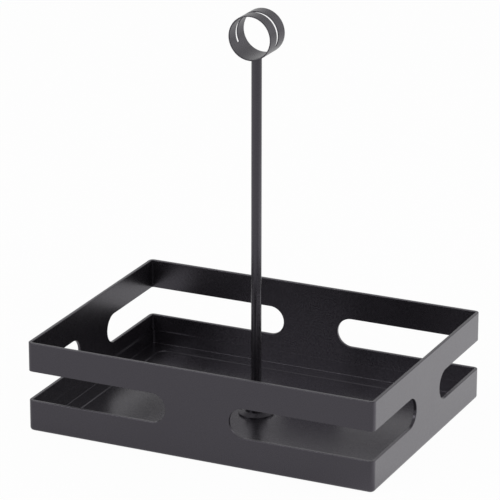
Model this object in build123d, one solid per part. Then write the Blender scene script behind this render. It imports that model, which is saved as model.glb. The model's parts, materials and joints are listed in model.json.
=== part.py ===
from build123d import *
import os

# Table caddy for condiments: an open tray of black coated steel sheet with a window round each
# of its corners, and an upright rod that ends in a slit ring, which is the carrying handle and
# holds a menu card.
# Millimetres. Origin: centre of the footprint, on the table. +X along the long front wall to the
# right, +Y to the back, +Z up.

# ---------------------------------------------------------------- driving dimensions
# tray wall
caddy_length = 220.0          # outside, along X
caddy_width = 161.0           # outside, along Y
wall_sheet = 2.0              # thickness of the wall sheet
wall_corner_radius = 3.0      # outside radius of the four upright corners
wall_base_radius = 1.9        # rounding of the outside bottom edge
edge_rounding = 0.35          # the coating rounds every cut edge

# windows round the corners, from the bottom of the wall upwards
sill_height = 19.2            # closed wall below the windows
window_height = 18.1
band_height = 17.9            # closed band above the windows
bridge_front = 40.4           # closed wall between two windows, on each side of the caddy
bridge_back = 36.0
bridge_side = 35.0

# floor pan
pan_sheet = 0.8
pan_fit_gap = 0.1             # between the pan's rim and the wall
pan_rim_height = 9.0          # outside height of the upturned rim
pan_corner_radius = 2.0       # outside radius in plan
pan_bend_radius = 1.2         # outside radius between rim and floor
field_margin = 9.5            # flat border between the rim and the sunk field
field_drop = 0.4              # how far the field lies below the border
field_slope_width = 0.6
field_corner_radius = 5.0
boss_foot_radius = 10.6       # pressed boss that carries the rod
boss_step_height = 0.9        # its steep first step
boss_step_width = 0.15
boss_rise = 2.4               # whole height over the sunk field
boss_top_radius = 7.2

# upright
rod_diameter = 6.1            # 6 mm rod with its coating
ring_centre_height = 234.0    # above the bottom edge of the wall
collar_diameter = 13.0
collar_height = 4.0
collar_chamfer = 0.6

# ring
ring_diameter = 26.7          # outside
ring_wall = 0.7
ring_length = 19.5            # along Y
slit_width = 2.7
slit_depth_below_centre = 5.9
ring_edge_rounding = 0.25

# screw that holds the rod from below
screw_diameter = 4.0          # the thread is drawn as a plain cylinder of this size
screw_length = 12.0           # under the head
screw_head_diameter = 7.6
screw_head_height = 2.2
screw_head_rounding = 1.76    # of the button head's lower edge
screw_socket_width = 2.5      # across the flats
screw_socket_depth = 1.3
screw_hole_gap = 0.15         # radial, in the pan and the washer
thread_gap = 0.02             # radial, between the screw and the tapped rod
thread_runout = 3.0           # tapped depth past the screw's tip
washer_diameter = 9.0
washer_thickness = 0.8

# feet
foot_diameter = 6.0
foot_height = 1.4
foot_dome = 0.5               # rounding of the edge that meets the table
foot_inset = 8.7              # from the outside of both walls to the foot's centre

# ---------------------------------------------------------------- worked out from them
wall_base = foot_height                                  # height of the wall's bottom edge
wall_height = sill_height + window_height + band_height
window_middle = wall_base + sill_height + window_height / 2
inner_length = caddy_length - 2 * wall_sheet
inner_width = caddy_width - 2 * wall_sheet
pan_length = inner_length - 2 * pan_fit_gap
pan_width = inner_width - 2 * pan_fit_gap
pan_inner_length = pan_length - 2 * pan_sheet
pan_inner_width = pan_width - 2 * pan_sheet
border_top = wall_base + pan_sheet                       # upper face of the pan's flat border
field_top = border_top - field_drop
boss_top = field_top + boss_rise
ring_radius = ring_diameter / 2
ring_centre = wall_base + ring_centre_height

# ---------------------------------------------------------------- modelling aids
on_base = (Align.CENTER, Align.CENTER, Align.MIN)        # solids that stand on their base
cut_past = 5.0                                           # how far a cutter runs past the solid
tolerance = 0.01                                         # for picking edges by their place
upright = 0.9                                            # least Z share of an upright edge


# ---------------------------------------------------------------- sub-parts
def corner_window_arm(wall_length, bridge, side):
    """Profile of one arm of a corner window, drawn on the flat wall.

    The arm starts as a half round at the bridge and runs out past the corner.
    side is -1 or +1 along the wall.
    """
    start = bridge / 2
    end = wall_length / 2 + window_height
    slot = SlotOverall(end - start, window_height)
    return Pos(side * (start + end) / 2, 0) * slot


def wall_frame():
    """The tray's wall: one band of sheet with a window wrapped round each corner."""
    inner_radius = wall_corner_radius - wall_sheet
    outside = extrude(RectangleRounded(caddy_length, caddy_width, wall_corner_radius), wall_height)
    inside = extrude(RectangleRounded(inner_length, inner_width, inner_radius), wall_height)
    frame = Pos(0, 0, wall_base) * (outside - inside)

    cutter_depth = wall_sheet + 2 * inner_radius + cut_past
    long_offset = caddy_width / 2 + cut_past
    short_offset = caddy_length / 2 + cut_past
    front = Plane((0, -long_offset, window_middle), x_dir=(1, 0, 0), z_dir=(0, -1, 0))
    back = Plane((0, long_offset, window_middle), x_dir=(1, 0, 0), z_dir=(0, 1, 0))
    left = Plane((-short_offset, 0, window_middle), x_dir=(0, 1, 0), z_dir=(-1, 0, 0))
    right = Plane((short_offset, 0, window_middle), x_dir=(0, 1, 0), z_dir=(1, 0, 0))
    walls = [
        (front, caddy_length, bridge_front),
        (back, caddy_length, bridge_back),
        (left, caddy_width, bridge_side),
        (right, caddy_width, bridge_side),
    ]
    for plane, length, bridge in walls:
        for side in (-1, 1):
            arm = plane * corner_window_arm(length, bridge, side)
            frame -= extrude(arm, amount=-cutter_depth)

    outside_bottom = frame.faces().sort_by(Axis.Z)[0].outer_wire().edges()
    frame = fillet(outside_bottom, wall_base_radius)
    frame = fillet(cut_edges(frame), edge_rounding)
    return frame


def cut_edges(frame):
    """Edges of the wall's rim and windows, which the coating rounds."""
    rim = frame.faces().sort_by(Axis.Z)[-1].edges()
    sill = wall_base + sill_height
    low = sill - tolerance
    high = sill + window_height + tolerance
    window = [
        edge
        for edge in frame.edges()
        if edge.bounding_box().min.Z > low and edge.bounding_box().max.Z < high
        and not (edge.geom_type == GeomType.LINE and abs(edge.tangent_at(0).Z) > upright)
        and not is_across_sheet(edge)
    ]
    return list(rim) + window


def is_across_sheet(edge):
    """True for the short edges that run through the sheet's thickness."""
    return edge.length < wall_sheet + tolerance and edge.geom_type == GeomType.LINE


def sunk_field(length, width):
    """Rounded rectangle with sloping sides, as a press sinks it into a sheet from above."""
    slope = field_slope_width
    high = RectangleRounded(length, width, field_corner_radius)
    low = RectangleRounded(length - 2 * slope, width - 2 * slope, field_corner_radius - slope)
    return loft([Pos(0, 0, -field_drop) * low, high])


def boss_form(foot_radius, top_radius):
    """Solid under the boss's surface: a steep step, then a gentle cone with a flat top."""
    shoulder = foot_radius - boss_step_width
    outline = Polyline(
        (0, 0),
        (foot_radius, 0),
        (shoulder, boss_step_height),
        (top_radius, boss_rise),
        (0, boss_rise),
        close=True,
    )
    return revolve(Plane.XZ * make_face(outline), Axis.Z)


def floor_pan():
    """Pressed floor with an upturned rim, a sunk field and the boss for the rod."""
    outer = extrude(RectangleRounded(pan_length, pan_width, pan_corner_radius), pan_rim_height)
    outer = fillet(outer.edges().group_by(Axis.Z)[0], pan_bend_radius)
    inner_corner = pan_corner_radius - pan_sheet
    inner = extrude(RectangleRounded(pan_inner_length, pan_inner_width, inner_corner), pan_rim_height)
    inner = fillet(inner.edges().group_by(Axis.Z)[0], pan_bend_radius - pan_sheet)
    pan = Pos(0, 0, wall_base) * outer - Pos(0, 0, border_top) * inner

    field_length = pan_inner_length - 2 * field_margin
    field_width = pan_inner_width - 2 * field_margin
    pan += Pos(0, 0, wall_base) * sunk_field(field_length + pan_sheet, field_width + pan_sheet)
    pan -= Pos(0, 0, border_top) * sunk_field(field_length, field_width)

    recess_top = boss_top_radius - pan_sheet / 2
    pan += Pos(0, 0, field_top) * boss_form(boss_foot_radius, boss_top_radius)
    pan -= Pos(0, 0, field_top - pan_sheet) * boss_form(boss_foot_radius - pan_sheet, recess_top)

    hole = Cylinder(screw_diameter / 2 + screw_hole_gap, boss_top + cut_past)
    return pan - hole


def handle_rod():
    """Upright rod: coped at the top to the ring, tapped at the bottom for the screw."""
    blank_height = ring_centre - boss_top
    rod = Pos(0, 0, boss_top) * Cylinder(rod_diameter / 2, blank_height, align=on_base)
    rod -= Pos(0, 0, ring_centre) * lying_cylinder(ring_radius, rod_diameter + cut_past)

    thread_depth = screw_length - pan_sheet - washer_thickness + thread_runout
    bore = Cylinder(screw_diameter / 2 + thread_gap, thread_depth, align=on_base)
    return rod - Pos(0, 0, boss_top) * bore


def rod_collar():
    """Turned collar round the rod's foot, which spreads its load on the boss."""
    collar = Cylinder(collar_diameter / 2, collar_height, align=on_base)
    collar = chamfer(collar.edges().group_by(Axis.Z)[-1], collar_chamfer)
    collar -= Cylinder(rod_diameter / 2, collar_height, align=on_base)
    return Pos(0, 0, boss_top) * collar


def lying_cylinder(radius, length):
    """Cylinder with its axis along Y, centred on the origin."""
    return Rot(90, 0, 0) * Cylinder(radius, length)


def card_ring():
    """Tube ring with a saw slit from the top, which grips a card."""
    ring = lying_cylinder(ring_radius, ring_length)
    ring -= lying_cylinder(ring_radius - ring_wall, ring_length)
    ring = fillet(ring.edges(), ring_edge_rounding)
    slit_height = ring_radius + slit_depth_below_centre + cut_past
    slit = Box(ring_diameter + cut_past, slit_width, slit_height, align=on_base)
    ring -= Pos(0, 0, -slit_depth_below_centre) * slit
    return Pos(0, 0, ring_centre) * ring


def screw_washer():
    """Plain washer under the screw's head, inside the boss."""
    washer = Cylinder(washer_diameter / 2, washer_thickness, align=on_base)
    washer -= Cylinder(screw_diameter / 2 + screw_hole_gap, washer_thickness, align=on_base)
    return Pos(0, 0, boss_top - pan_sheet - washer_thickness) * washer


def rod_screw():
    """Button-head screw with a hexagon socket, up through the pan into the rod."""
    seat = boss_top - pan_sheet - washer_thickness
    shank = Cylinder(screw_diameter / 2, screw_length, align=on_base)
    head = Pos(0, 0, -screw_head_height) * Cylinder(
        screw_head_diameter / 2, screw_head_height, align=on_base
    )
    head = fillet(head.edges().group_by(Axis.Z)[0], screw_head_rounding)
    socket = extrude(
        RegularPolygon(screw_socket_width / 2, 6, major_radius=False), screw_socket_depth
    )
    screw = head + shank - Pos(0, 0, -screw_head_height) * socket
    return Pos(0, 0, seat) * screw


def foot(x_side, y_side):
    """Rubber foot under one corner of the pan's border."""
    pad = Cylinder(foot_diameter / 2, foot_height, align=on_base)
    pad = fillet(pad.edges().group_by(Axis.Z)[0], foot_dome)
    x = x_side * (caddy_length / 2 - foot_inset)
    y = y_side * (caddy_width / 2 - foot_inset)
    return Pos(x, y, 0) * pad


# ---------------------------------------------------------------- assembly
nodes = {
    "wall_frame": wall_frame(),
    "floor_pan": floor_pan(),
    "handle_rod": handle_rod(),
    "rod_collar": rod_collar(),
    "card_ring": card_ring(),
    "screw_washer": screw_washer(),
    "rod_screw": rod_screw(),
}
for x_name, x_side in (("left", -1), ("right", 1)):
    for y_name, y_side in (("front", -1), ("back", 1)):
        nodes[f"foot_{y_name}_{x_name}"] = foot(x_side, y_side)

os.makedirs("parts", exist_ok=True)
for name, shape in nodes.items():
    export_step(shape, f"parts/{name}.step")
    print(name, "volume", round(shape.volume, 1))
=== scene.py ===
# %% [markdown]
# # A table caddy in black coated steel
# A caddy is a small open tray that stands on a table and carries bottles, shakers and cutlery.
# This one is folded from steel sheet, has a window round each corner, and a rod with a slit ring
# that is both its handle and a card holder. The exact shape comes from a packed CAD model. This
# lesson adds what a CAD model lacks: light, a camera, real finishes, and the small details that
# a maker leaves on the metal.

# %% Load the CAD model
import json
import math
import bmesh
import bpy
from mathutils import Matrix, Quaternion, Vector


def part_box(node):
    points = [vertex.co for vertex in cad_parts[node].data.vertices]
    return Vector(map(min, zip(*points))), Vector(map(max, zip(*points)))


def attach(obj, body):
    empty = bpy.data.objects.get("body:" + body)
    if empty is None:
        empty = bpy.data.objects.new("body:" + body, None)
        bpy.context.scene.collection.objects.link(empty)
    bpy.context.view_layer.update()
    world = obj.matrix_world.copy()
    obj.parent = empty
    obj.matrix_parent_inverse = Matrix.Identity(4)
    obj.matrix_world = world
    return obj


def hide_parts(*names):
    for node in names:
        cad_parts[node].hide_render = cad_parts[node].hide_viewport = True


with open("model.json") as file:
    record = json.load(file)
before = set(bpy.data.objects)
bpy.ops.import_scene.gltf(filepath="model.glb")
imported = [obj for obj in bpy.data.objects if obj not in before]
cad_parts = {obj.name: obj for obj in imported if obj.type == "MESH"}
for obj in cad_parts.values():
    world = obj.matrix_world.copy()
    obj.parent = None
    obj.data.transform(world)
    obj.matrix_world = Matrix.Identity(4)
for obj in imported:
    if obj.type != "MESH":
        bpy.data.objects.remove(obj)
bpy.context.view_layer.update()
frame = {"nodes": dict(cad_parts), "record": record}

MM = 0.001
nodes = frame["nodes"]
print(len(nodes), "CAD nodes:", ", ".join(sorted(nodes)))

# %% [markdown]
# ## Reading sizes from the model
# The feet and the welds have to fit the CAD parts that they touch. Their sizes could be typed in
# again, but then a change in the CAD model would leave them behind. So every size that a new
# piece shares with a CAD node is read from that node's box.

# %% Sizes of the caddy
wall_low, wall_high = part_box("wall_frame")
pan_low, pan_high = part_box("floor_pan")
rod_low, rod_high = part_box("handle_rod")
ring_low, ring_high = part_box("card_ring")
collar_low, collar_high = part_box("rod_collar")

rod_radius = (rod_high.x - rod_low.x) / 2
ring_radius = (ring_high.x - ring_low.x) / 2
print("wall", [round(v / MM, 1) for v in wall_high - wall_low], "mm")
print("rod radius", round(rod_radius / MM, 2), "ring radius", round(ring_radius / MM, 2), "mm")

# %% [markdown]
# ## Camera
# A product photograph is taken from a distance with a long lens, so that upright edges stay
# nearly parallel. The camera could be placed by its coordinates, but an azimuth, an elevation and
# a distance round an aim point near the rod are easier to think in.

# %% Camera
CAMERA_AZIMUTH = math.radians(25.057)
CAMERA_ELEVATION = math.radians(19.472)
CAMERA_ROLL = math.radians(0.045)
CAMERA_DISTANCE = 2.0006
CAMERA_AIM = Vector((-0.00411, 0.0, 0.10391))
CAMERA_LENS = 245.98
SENSOR_WIDTH = 36.0

scene = bpy.context.scene
back = Vector((
    math.sin(CAMERA_AZIMUTH) * math.cos(CAMERA_ELEVATION),
    -math.cos(CAMERA_AZIMUTH) * math.cos(CAMERA_ELEVATION),
    math.sin(CAMERA_ELEVATION),
))
camera = bpy.data.objects.new("camera", bpy.data.cameras.new("camera"))
camera.data.lens = CAMERA_LENS
camera.data.sensor_width = SENSOR_WIDTH
camera.location = CAMERA_AIM + back * CAMERA_DISTANCE
camera.rotation_mode = "QUATERNION"
camera.rotation_quaternion = back.to_track_quat("Z", "Y") @ Quaternion((0, 0, 1), CAMERA_ROLL)
scene.collection.objects.link(camera)
scene.camera = camera
scene.view_settings.view_transform = "Standard"
print("camera at", [round(v, 3) for v in camera.location])

# %% [markdown]
# ## Writing node trees as sums
# A finish is a small formula over the surface, and a rule-made shape is one over its points.
# Clicking Math nodes together hides the formula, so this class wraps one socket and lets Python's
# operators add the nodes: a * b + 1 becomes two of them. Colours would turn grey in a Math node,
# so they go through Mix nodes instead.

# %% Sockets that can be added and multiplied
def socket_of(sockets, key):
    """Socket by its identifier, its name or its number."""
    if isinstance(key, int):
        return sockets[key]
    return next((s for s in sockets if s.identifier == key), None) or sockets[key]


class Value:
    """One socket of a node tree."""

    def __init__(self, tree, socket=None):
        self.tree = tree
        self.socket = socket

    def node(self, kind, inputs=None, output=0, **settings):
        """Adds a node: its settings first, then the values or links of its sockets."""
        made = self.tree.nodes.new(kind)
        for name, setting in settings.items():
            setattr(made, name, setting)
        for key, value in (inputs or {}).items():
            socket = socket_of(made.inputs, key)
            if isinstance(value, Value):
                self.tree.links.new(value.socket, socket)
            else:
                socket.default_value = value
        return Value(self.tree, socket_of(made.outputs, output) if made.outputs else None)

    def math(self, operation, *others):
        """Math node with this socket as its first value."""
        values = dict(enumerate((self, *others)))
        return self.node("ShaderNodeMath", values, operation=operation)

    def axis(self, name):
        """One coordinate of a vector."""
        return self.node("ShaderNodeSeparateXYZ", {"Vector": self}, name)

    def ramp(self, low, high, interpolation="LINEAR"):
        """0 up to low, 1 from high, and growth between them."""
        limits = {"Value": self, "From Min": low, "From Max": high}
        return self.node("ShaderNodeMapRange", limits, "Result", interpolation_type=interpolation)

    def __add__(self, other):
        return self.math("ADD", other)

    def __radd__(self, other):
        return self.math("ADD", other)

    def __sub__(self, other):
        return self.math("SUBTRACT", other)

    def __rsub__(self, other):
        return self.node("ShaderNodeMath", {0: other, 1: self}, operation="SUBTRACT")

    def __mul__(self, other):
        return self.math("MULTIPLY", other)

    def __pow__(self, other):
        return self.math("POWER", other)


print("Value can:", ", ".join(name for name in vars(Value) if name != "__module__"))

# %% [markdown]
# ## Powder coat
# Powder coat is sprayed on as dust and melted in an oven. It flows into a tough skin with a soft
# sheen and a fine orange-peel texture, and it is a little thicker in some places than in others.
# An image could show that, but it would stretch round the bends, so noise in the object's own
# coordinates makes it. The colour is nearly black and almost even, and the look comes from
# roughness and bump: a broad cloud, the orange peel, and a fine grain.

# %% Helpers for materials
def noise(place, size, detail=2.0):
    """Even noise whose features are about size metres wide."""
    inputs = {"Vector": place, "Scale": 1.0 / size, "Detail": detail}
    return place.node("ShaderNodeTexNoise", inputs, "Fac")


def new_material(name, preview):
    """Empty material and the place on the object to start its formula from."""
    material = bpy.data.materials.new(name)
    material.use_nodes = True
    material.node_tree.nodes.clear()
    material.diffuse_color = preview
    place = Value(material.node_tree).node("ShaderNodeTexCoord", output="Object")
    return material, place


def blend_colours(amount, low, high):
    """Colour between two colours."""
    inputs = {"Factor_Float": amount, "A_Color": low, "B_Color": high}
    return amount.node("ShaderNodeMix", inputs, "Result_Color", data_type="RGBA")


def bump(height, distance):
    """Surface normal from a height between 0 and 1."""
    return height.node("ShaderNodeBump", {"Height": height, "Distance": distance, "Strength": 1.0})


def finish_material(material, shader):
    """Links the shader to the material's output."""
    shader.node("ShaderNodeOutputMaterial", {"Surface": shader})
    print("material", material.name, "has", len(material.node_tree.nodes), "nodes")
    return material


# %% Black powder coat
COAT_THIN = (0.0086, 0.0076, 0.0094, 1.0)
COAT_THICK = (0.0116, 0.0103, 0.0126, 1.0)
COAT_TINT = (0.92, 0.87, 1.0, 1.0)
COAT_IOR = 1.74
COAT_ROUGHNESS = 0.27
CLOUD_SIZE = 45 * MM
CLOUD_DETAIL = 3.0
CLOUD_ROUGHNESS = 0.08
PEEL_SIZE = 1.1 * MM
PEEL_SHARE = 0.75
GRAIN_SIZE = 0.28 * MM
GRAIN_ROUGHNESS = 0.10
COAT_RELIEF = 0.02 * MM


def powder_coat():
    material, place = new_material("black_powder_coat", COAT_THIN)
    cloud = noise(place, CLOUD_SIZE, CLOUD_DETAIL)
    peel = noise(place, PEEL_SIZE)
    grain = noise(place, GRAIN_SIZE)
    uneven = (cloud - 0.5) * CLOUD_ROUGHNESS + (grain - 0.5) * GRAIN_ROUGHNESS
    height = peel * PEEL_SHARE + grain * (1.0 - PEEL_SHARE)
    shader = place.node(
        "ShaderNodeBsdfPrincipled",
        {
            "Base Color": blend_colours(cloud, COAT_THIN, COAT_THICK),
            "Roughness": uneven + COAT_ROUGHNESS,
            "IOR": COAT_IOR,
            "Specular Tint": COAT_TINT,
            "Normal": bump(height, COAT_RELIEF),
        },
    )
    return finish_material(material, shader)


black_coat = powder_coat()

# %% [markdown]
# ## Zinc plate
# The screw and washer under the tray are bright zinc plate over turned steel. The fine rings that
# turning leaves run round the screw's axis. They could be cut into the mesh, but they are a sixth
# of a millimetre apart, so a sine of the distance from the axis bumps them.

# %% Zinc plate
ZINC = (0.62, 0.63, 0.64, 1.0)
ZINC_DULL = (0.50, 0.51, 0.53, 1.0)
ZINC_ROUGHNESS = 0.24
STAIN_ROUGHNESS = 0.16
STAIN_SIZE = 1.6 * MM
STAIN_DETAIL = 4.0
TURNING_PITCH = 0.16 * MM
TURNING_RELIEF = 0.004 * MM
ACROSS_AXIS = (1, 1, 0)


def zinc_plate():
    material, place = new_material("zinc_plate", ZINC)
    flat = place.node("ShaderNodeVectorMath", {0: place, 1: ACROSS_AXIS}, operation="MULTIPLY")
    radius = flat.node("ShaderNodeVectorMath", {0: flat}, "Value", operation="LENGTH")
    rings = (radius * (2 * math.pi / TURNING_PITCH)).math("SINE")
    stain = noise(place, STAIN_SIZE, STAIN_DETAIL)
    shader = place.node(
        "ShaderNodeBsdfPrincipled",
        {
            "Base Color": blend_colours(stain, ZINC_DULL, ZINC),
            "Metallic": 1.0,
            "Roughness": stain * STAIN_ROUGHNESS + ZINC_ROUGHNESS,
            "Normal": bump(rings * 0.5 + 0.5, TURNING_RELIEF),
        },
    )
    return finish_material(material, shader)


zinc = zinc_plate()

# %% [markdown]
# ## Rubber
# The feet are moulded rubber: matt, nearly black, and with the slight pale bloom that rubber
# sweats out as it ages. Noise spreads the bloom, because it follows no edge.

# %% Rubber
RUBBER = (0.022, 0.022, 0.023, 1.0)
RUBBER_BLOOM = (0.045, 0.044, 0.043, 1.0)
RUBBER_ROUGHNESS = 0.72
BLOOM_ROUGHNESS = 0.2
BLOOM_SIZE = 2.5 * MM
BLOOM_DETAIL = 4.0
MOULD_GRAIN = 0.15 * MM
MOULD_RELIEF = 0.01 * MM


def foot_rubber():
    material, place = new_material("foot_rubber", RUBBER)
    bloom = noise(place, BLOOM_SIZE, BLOOM_DETAIL)
    shader = place.node(
        "ShaderNodeBsdfPrincipled",
        {
            "Base Color": blend_colours(bloom, RUBBER, RUBBER_BLOOM),
            "Roughness": (bloom - 0.5) * BLOOM_ROUGHNESS + RUBBER_ROUGHNESS,
            "Normal": bump(noise(place, MOULD_GRAIN), MOULD_RELIEF),
        },
    )
    return finish_material(material, shader)


rubber = foot_rubber()

# %% [markdown]
# ## Dressing the CAD nodes
# The wall, pan, rod, collar, ring, screw and washer have the right shape already, so they keep
# their CAD meshes and only change clothes. The record says which slot each one wears.

# %% Dress the CAD nodes
FINISHES = {"coated_steel": black_coat, "zinc_plated_steel": zinc, "foot_rubber": rubber}
for subpart in frame["record"]["subparts"]:
    node = nodes[subpart["node"]]
    for slot in node.material_slots:
        slot.material = FINISHES[subpart["material_slot"]]
    print(node.name, "wears", subpart["material_slot"])

# %% [markdown]
# ## Feet and welds, made by rule
# Four equal feet repeat, and a weld bead follows a seam. Geometry Nodes suit both: the shape is a
# formula with named sizes, one tree makes every copy, and a changed size changes them all. Each
# tree ends in plain faces with their material, and its result is kept as an ordinary mesh.

# %% Start and end of a tree
def new_tree(name, sizes):
    """Geometry tree's incoming geometry, and a Value for each named size."""
    tree = bpy.data.node_groups.new(name, "GeometryNodeTree")
    tree.interface.new_socket("Geometry", in_out="OUTPUT", socket_type="NodeSocketGeometry")
    tree.interface.new_socket("Geometry", in_out="INPUT", socket_type="NodeSocketGeometry")
    for size in sizes:
        tree.interface.new_socket(size, in_out="INPUT", socket_type="NodeSocketFloat")
    group = tree.nodes.new("NodeGroupInput")
    return [Value(tree, group.outputs[name]) for name in ("Geometry", *sizes)]


def end_tree(geometry, material):
    """Real faces with their material go to the tree's output."""
    real = geometry.node("GeometryNodeRealizeInstances", {"Geometry": geometry})
    dressed = real.node("GeometryNodeSetMaterial", {"Geometry": real, "Material": material})
    dressed.node("NodeGroupOutput", {"Geometry": dressed})
    print("tree", geometry.tree.name, "has", len(geometry.tree.nodes), "nodes")
    return geometry.tree


# %% From a tree to a plain mesh
def face_outwards(mesh):
    """Turns every face of closed shells outwards."""
    shell = bmesh.new()
    shell.from_mesh(mesh)
    bmesh.ops.recalc_face_normals(shell, faces=shell.faces)
    shell.to_mesh(mesh)
    shell.free()


def run_tree(name, tree, points, sizes):
    """Plain mesh object that the tree makes from points and sizes."""
    mesh = bpy.data.meshes.new(name)
    mesh.from_pydata(points, [], [])
    piece = bpy.data.objects.new(name, mesh)
    scene.collection.objects.link(piece)
    modifier = piece.modifiers.new(tree.name, "NODES")
    modifier.node_group = tree
    for socket in tree.interface.items_tree:
        if socket.in_out == "INPUT" and socket.name in sizes:
            modifier[socket.identifier] = sizes[socket.name]
    evaluated = piece.evaluated_get(bpy.context.evaluated_depsgraph_get())
    made = bpy.data.meshes.new_from_object(evaluated)
    piece.modifiers.remove(modifier)
    made.name = name
    piece.data = made
    face_outwards(made)
    made.shade_smooth()
    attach(piece, "root")
    print(name, "has", len(made.polygons), "faces")
    return piece


# %% [markdown]
# ## Rubber feet
# A foot is a small moulded button: flat on top where it is stuck on, straight at its side, and
# rounded at the rim that meets the table. Spinning a profile would make one foot. The tree bends
# a grid instead, and sets a copy on each point that it is given. One way across the grid goes
# round the foot, the other goes from the middle of its underside out, up and in again.

# %% Foot tree
FOOT_SIDES = 49
FOOT_RINGS = 15
UNDERSIDE_ENDS = 0.7
SIDE_ENDS = 0.8
RINGS_TO_RIM = 0.6
RIM_SHARPNESS = 8
SEAM_GAP = 1e-6


def foot_tree():
    places, radius, height, rounding = new_tree("moulded_foot", ("Radius", "Height", "Rounding"))
    grid = places.node(
        "GeometryNodeMeshGrid",
        {"Size X": 1.0, "Size Y": 1.0, "Vertices X": FOOT_SIDES, "Vertices Y": FOOT_RINGS},
    )
    spot = places.node("GeometryNodeInputPosition")
    turn = spot.axis("X") * (2 * math.pi)
    along = spot.axis("Y") + 0.5
    outwards = along.ramp(0.0, UNDERSIDE_ENDS) ** RINGS_TO_RIM
    upwards = along.ramp(UNDERSIDE_ENDS, SIDE_ENDS)
    inwards = along.ramp(SIDE_ENDS, 1.0)
    reach = radius * (outwards - inwards)
    level = rounding * outwards ** RIM_SHARPNESS + (height - rounding) * upwards
    bent = places.node(
        "ShaderNodeCombineXYZ",
        {"X": reach * turn.math("COSINE"), "Y": reach * turn.math("SINE"), "Z": level},
    )
    foot = places.node("GeometryNodeSetPosition", {"Geometry": grid, "Position": bent})
    foot = places.node("GeometryNodeMergeByDistance", {"Geometry": foot, "Distance": SEAM_GAP})
    feet = places.node("GeometryNodeInstanceOnPoints", {"Points": places, "Instance": foot})
    return end_tree(feet, rubber)


# %% Four feet
FOOT_NODES = ("foot_front_left", "foot_front_right", "foot_back_left", "foot_back_right")
FOOT_ROUND = 0.5 * MM

foot_boxes = [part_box(name) for name in FOOT_NODES]
foot_places = [((low.x + high.x) / 2, (low.y + high.y) / 2, low.z) for low, high in foot_boxes]
foot_low, foot_high = foot_boxes[0]
foot_sizes = {
    "Radius": (foot_high.x - foot_low.x) / 2,
    "Height": foot_high.z - foot_low.z,
    "Rounding": FOOT_ROUND,
}
rubber_feet = run_tree("rubber_feet", foot_tree(), foot_places, foot_sizes)
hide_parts(*FOOT_NODES)

# %% [markdown]
# ## Weld beads
# The ring and the collar are welded to the rod before the coating, so each joint has a thin
# rippled bead under the black. A torus would fit the collar but not the round ring, so the bead
# is a curve with a round section. Its path is a circle round the rod, lifted at the sides where
# it lies on the ring, and its thickness swells a little with each ripple.

# %% Bead tree
BEAD_POINTS = 96
BEAD_SECTION = 10
RIPPLE_DEPTH = 0.10


def round_bead_tree():
    start, path_radius, base, saddle, lift, bead, ripples = new_tree(
        "round_weld_bead",
        ("Path radius", "Base height", "Saddle radius", "Saddle share", "Bead radius", "Ripples"),
    )
    path = start.node(
        "GeometryNodeCurvePrimitiveCircle", {"Resolution": BEAD_POINTS, "Radius": path_radius}
    )
    across = start.node("GeometryNodeInputPosition").axis("X")
    drop = (saddle * saddle - across * across).math("SQRT")
    rise = start.node("ShaderNodeCombineXYZ", {"Z": base + lift * (saddle - drop)})
    path = start.node("GeometryNodeSetPosition", {"Geometry": path, "Offset": rise})
    wave = start.node("GeometryNodeSplineParameter", output="Factor") * ripples * (2 * math.pi)
    swell = wave.math("SINE") * RIPPLE_DEPTH + 1.0
    section = start.node(
        "GeometryNodeCurvePrimitiveCircle", {"Resolution": BEAD_SECTION, "Radius": bead}
    )
    tube = start.node(
        "GeometryNodeCurveToMesh", {"Curve": path, "Profile Curve": section, "Scale": swell}
    )
    return end_tree(tube, black_coat)


bead_tree = round_bead_tree()

# %% Beads at the ring and at the collar
ROD_AXIS = [(0.0, 0.0, 0.0)]
ROUND_WELDS = {
    "ring_weld": {
        "Base height": ring_low.z,
        "Saddle share": 1.0,
        "Bead radius": 0.30 * MM,
        "Ripples": 18.0,
    },
    "collar_weld": {
        "Base height": collar_high.z,
        "Saddle share": 0.0,
        "Bead radius": 0.45 * MM,
        "Ripples": 16.0,
    },
}
for name, sizes in ROUND_WELDS.items():
    rod_sizes = {"Path radius": rod_radius, "Saddle radius": ring_radius}
    round_weld = run_tree(name, bead_tree, ROD_AXIS, {**rod_sizes, **sizes})

# %% [markdown]
# ## Tack welds under the pan
# Sheet this thin warps if its whole seam is welded, so a maker tacks it: short beads with gaps
# between them. Ten beads could be placed by hand, but a rule keeps them on the seam. The tree
# draws the seam as a rounded rectangle, keeps only the points where a tack lies, and thickens
# each run that is left into a bead that tapers at its ends.

# %% Tack tree
SEAM_POINTS = 1200
CORNER_POINTS = 6
TACK_SECTION = 12
TACK_WAVES = 24.0
TACK_END = 0.3
TAPER_SHARPNESS = 6.0


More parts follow.
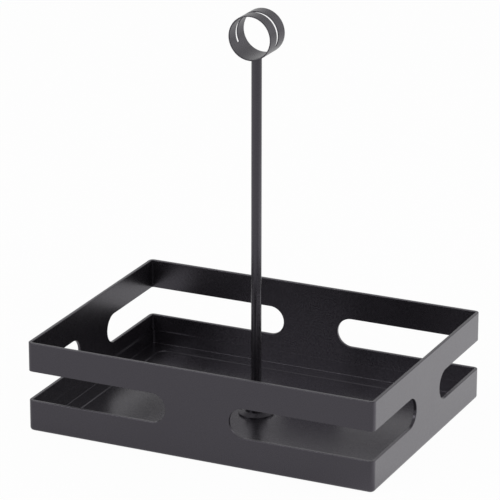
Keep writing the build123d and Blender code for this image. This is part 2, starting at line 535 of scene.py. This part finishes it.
def tack_tree():
    start, length, width, corner, level, bead, tacks, share = new_tree(
        "tack_welds",
        ("Seam length", "Seam width", "Corner radius", "Level", "Bead radius", "Tacks", "Share"),
    )
    seam = start.node("GeometryNodeCurvePrimitiveQuadrilateral", {"Width": length, "Height": width})
    seam = start.node(
        "GeometryNodeFilletCurve",
        {"Curve": seam, "Radius": corner, "Count": CORNER_POINTS},
        mode="POLY",
    )
    seam = start.node(
        "GeometryNodeResampleCurve", {"Curve": seam, "Count": SEAM_POINTS}, mode="COUNT"
    )
    line = start.node("GeometryNodeCurveToMesh", {"Curve": seam})
    part_of_seam = start.node("GeometryNodeInputIndex") * (1.0 / SEAM_POINTS)
    step = (part_of_seam * tacks + share * 0.5 + 0.5).math("FRACT")
    bare = step.math("GREATER_THAN", share)
    line = start.node("GeometryNodeDeleteGeometry", {"Geometry": line, "Selection": bare})
    runs = start.node("GeometryNodeMeshToCurve", {"Mesh": line})
    rise = start.node("ShaderNodeCombineXYZ", {"Z": level})
    runs = start.node("GeometryNodeSetPosition", {"Geometry": runs, "Offset": rise})
    from_middle = start.node("GeometryNodeSplineParameter", output="Factor") * 2.0 - 1.0
    taper = (1.0 - from_middle ** TAPER_SHARPNESS) * (1.0 - TACK_END) + TACK_END
    swell = (from_middle * TACK_WAVES).math("SINE") * RIPPLE_DEPTH + 1.0
    section = start.node(
        "GeometryNodeCurvePrimitiveCircle", {"Resolution": TACK_SECTION, "Radius": bead}
    )
    tube = start.node(
        "GeometryNodeCurveToMesh",
        {"Curve": runs, "Profile Curve": section, "Scale": taper * swell, "Fill Caps": True},
    )
    return end_tree(tube, black_coat)


# %% Ten tacks between pan and wall
TACK_INSET = 0.45 * MM
TACK_LIFT = 0.45 * MM

pan_size = pan_high - pan_low
tack_sizes = {
    "Seam length": pan_size.x - 2 * TACK_INSET,
    "Seam width": pan_size.y - 2 * TACK_INSET,
    "Corner radius": 2 * MM,
    "Level": wall_low.z + TACK_LIFT,
    "Bead radius": 0.65 * MM,
    "Tacks": 10.0,
    "Share": 0.12,
}
seam_tacks = run_tree("seam_tacks", tack_tree(), ROD_AXIS, tack_sizes)

# %% [markdown]
# ## Table
# The photograph has a pure white ground. More light would make the table white, but it would
# wash out the caddy too. So rays that come from the camera see the table almost at full white,
# with a trace of the caddy's soft shadow. Black paint shows little but what it mirrors, so
# mirrored rays see a bright table as well, and a painted pool of light on it beside the right
# wall: a glow that only mirrored rays see and that no lamp casts.

# %% White where the camera or a mirror looks
def seen_directly(start, camera_share, mirror_share):
    """Share of plain white for camera, mirrored and transmitted rays, otherwise 0."""
    direct = start.node("ShaderNodeLightPath", output="Is Camera Ray")
    mirrored = start.node("ShaderNodeLightPath", output="Is Glossy Ray")
    passed = start.node("ShaderNodeLightPath", output="Is Transmission Ray")
    through = mirrored.math("MAXIMUM", passed) * mirror_share
    return (direct * camera_share).math("MAXIMUM", through)


WHITE = (1.0, 1.0, 1.0, 1.0)
TABLE_PAINT = (0.86, 0.86, 0.86, 1.0)
TABLE_CAMERA_SHARE = 0.97
TABLE_MIRROR_SHARE = 0.48
# Painted pool of light: the table glows brighter round this spot, for mirrored rays only.
PAINTED_POOL_MIDDLE = (0.24, 0.10, 0.0)
PAINTED_POOL_EXTRA = 1.05
PAINTED_POOL_FULL = 0.18
PAINTED_POOL_ENDS = 0.26


def white_table():
    material, place = new_material("white_table", TABLE_PAINT)
    inputs = {0: place, 1: PAINTED_POOL_MIDDLE}
    away = place.node("ShaderNodeVectorMath", inputs, "Value", operation="DISTANCE")
    mirrored = place.node("ShaderNodeLightPath", output="Is Glossy Ray")
    # Painted pool of light: mirrored rays see the table glow brighter round a spot beside the right
    # wall, where no lamp shines.
    painted_pool = (1.0 - away.ramp(PAINTED_POOL_FULL, PAINTED_POOL_ENDS, "SMOOTHSTEP")) * mirrored
    strength = painted_pool * PAINTED_POOL_EXTRA + 1.0
    glow = place.node("ShaderNodeEmission", {"Color": WHITE, "Strength": strength})
    matt = place.node("ShaderNodeBsdfDiffuse", {"Color": TABLE_PAINT})
    share = seen_directly(place, TABLE_CAMERA_SHARE, TABLE_MIRROR_SHARE)
    mixed = place.node("ShaderNodeMixShader", {0: share, 1: matt, 2: glow})
    return finish_material(material, mixed)


# %% Table
TABLE_HALF = 6.0
CORNERS = ((-1, -1), (1, -1), (1, 1), (-1, 1))

table_mesh = bpy.data.meshes.new("table")
table_mesh.from_pydata([(x * TABLE_HALF, y * TABLE_HALF, 0.0) for x, y in CORNERS], [], [range(4)])
table_mesh.materials.append(white_table())
table = bpy.data.objects.new("table", table_mesh)
scene.collection.objects.link(table)
print("table", 2 * TABLE_HALF, "m wide")

# %% [markdown]
# ## Room
# Round the table stands a plain room. Its light walls give the upright faces their even tone,
# and its dim ceiling keeps the floor of the tray dark, as overhead light would turn it grey. A
# closed box of walls would do the same, but a world whose strength falls with height is simpler.

# %% World: light walls and a dim ceiling
WALLS = 0.75
CEILING = 0.2
CEILING_STARTS = 0.35
CEILING_FULL = 0.85
ROOM_MIRROR_SHARE = 0.08

world = bpy.data.worlds.new("studio")
world.use_nodes = True
world.node_tree.nodes.clear()
start = Value(world.node_tree)
upwards = start.node("ShaderNodeTexCoord", output="Generated").axis("Z")
rise = upwards.ramp(CEILING_STARTS, CEILING_FULL, "SMOOTHSTEP")
room = rise * (CEILING - WALLS) + WALLS
white = seen_directly(start, 1.0, ROOM_MIRROR_SHARE)
strength = room + white * (1.0 - room)
sky = start.node("ShaderNodeBackground", {"Color": WHITE, "Strength": strength})
start.node("ShaderNodeOutputWorld", {"Surface": sky})
scene.world = world
print("world", world.name, "has", len(world.node_tree.nodes), "nodes")

# %% [markdown]
# ## Lamps
# Three large soft lamps model the form: one above, one from the right, which lights the right
# wall and the ring, and one from the front left. Small lamps would leave hard glints on the
# satin coat.

# %% Soft lamps
def soft_lamp(name, place, aim, size, power):
    """Area lamp at place, turned to aim."""
    data = bpy.data.lights.new(name, "AREA")
    data.shape = "RECTANGLE"
    data.size, data.size_y = size
    data.energy = power
    lamp = bpy.data.objects.new(name, data)
    lamp.location = place
    lamp.rotation_mode = "QUATERNION"
    lamp.rotation_quaternion = (Vector(place) - Vector(aim)).to_track_quat("Z", "Y")
    lamp.visible_camera = False
    scene.collection.objects.link(lamp)
    print("lamp", name, power, "W")


CADDY_MIDDLE = (0.0, 0.0, 0.06)
RIGHT_OF_CADDY = (0.3, 0.3, 0.0)
soft_lamp("overhead_softbox", (0.0, -0.2, 1.6), CADDY_MIDDLE, size=(1.6, 1.2), power=2.0)
soft_lamp("right_softbox", (1.2, 0.8, 0.9), RIGHT_OF_CADDY, size=(1.0, 1.0), power=5.0)
soft_lamp("front_softbox", (-0.9, -1.5, 0.9), CADDY_MIDDLE, size=(1.0, 1.0), power=8.0)
